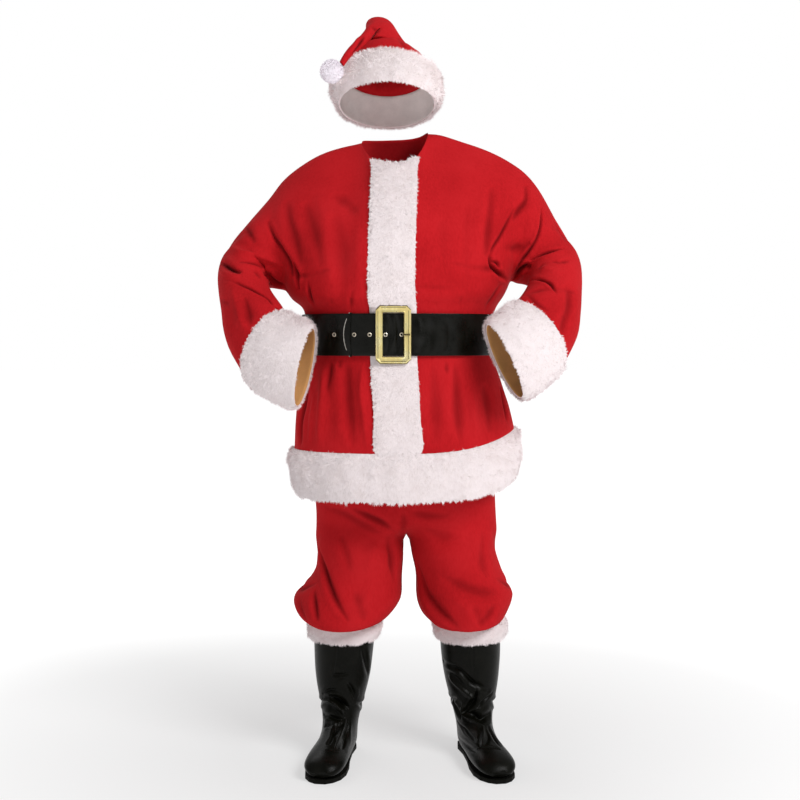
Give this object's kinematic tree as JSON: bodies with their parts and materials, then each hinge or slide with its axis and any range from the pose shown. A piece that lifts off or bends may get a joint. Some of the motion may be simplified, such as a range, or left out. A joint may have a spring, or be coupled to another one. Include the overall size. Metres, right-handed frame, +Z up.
{
  "type": "santa suit",
  "caption": "Worn santa suit: fur-trimmed red jacket, belt with brass buckle, blouson trousers, black boots and a pom-pom hat, hollow and open at neck, cuffs and hem.",
  "frame": {"origin": "middle of the neck opening, the mount wearer", "axes": "+Z up along the wearer's spine, -Y to the wearer's front, +X to the wearer's left; the soles stand at Z = -1.52"},
  "size_m": [0.8964, 0.4744, 1.8363],
  "materials": {
    "red_cloth": "brushed fleece, matt with a soft sheen",
    "white_fur": "long pile fake fur on a knitted backing",
    "belt_leather": "smooth, soft gloss",
    "brass": "polished, bevelled",
    "black_vinyl": "soft vinyl, gloss with creases",
    "boot_sole": "matt"
  },
  "bodies": {
    "root": {"jacket_front_right": "red_cloth", "jacket_front_left": "red_cloth", "jacket_back": "red_cloth", "sleeve_right": "red_cloth", "sleeve_left": "red_cloth", "cuff_fur_right": "white_fur", "cuff_fur_left": "white_fur", "hem_fur": "white_fur", "placket_fur": "white_fur", "belt_strap": "belt_leather", "belt_keeper": "belt_leather", "buckle_frame": "brass", "buckle_prong": "brass", "eyelet_1": "brass", "eyelet_2": "brass", "eyelet_3": "brass", "eyelet_4": "brass", "eyelet_5": "brass", "trouser_front_right": "red_cloth", "trouser_front_left": "red_cloth", "trouser_back_right": "red_cloth", "trouser_back_left": "red_cloth", "trouser_cuff_fur_right": "white_fur", "trouser_cuff_fur_left": "white_fur", "trouser_waistband": "red_cloth", "boot_right_shaft": "black_vinyl", "boot_left_shaft": "black_vinyl", "boot_right_foot": "black_vinyl", "boot_left_foot": "black_vinyl", "boot_right_sole": "boot_sole", "boot_left_sole": "boot_sole", "hat_cone": "red_cloth", "hat_band_fur": "white_fur", "hat_pompom": "white_fur"}
  },
  "joints": []
}
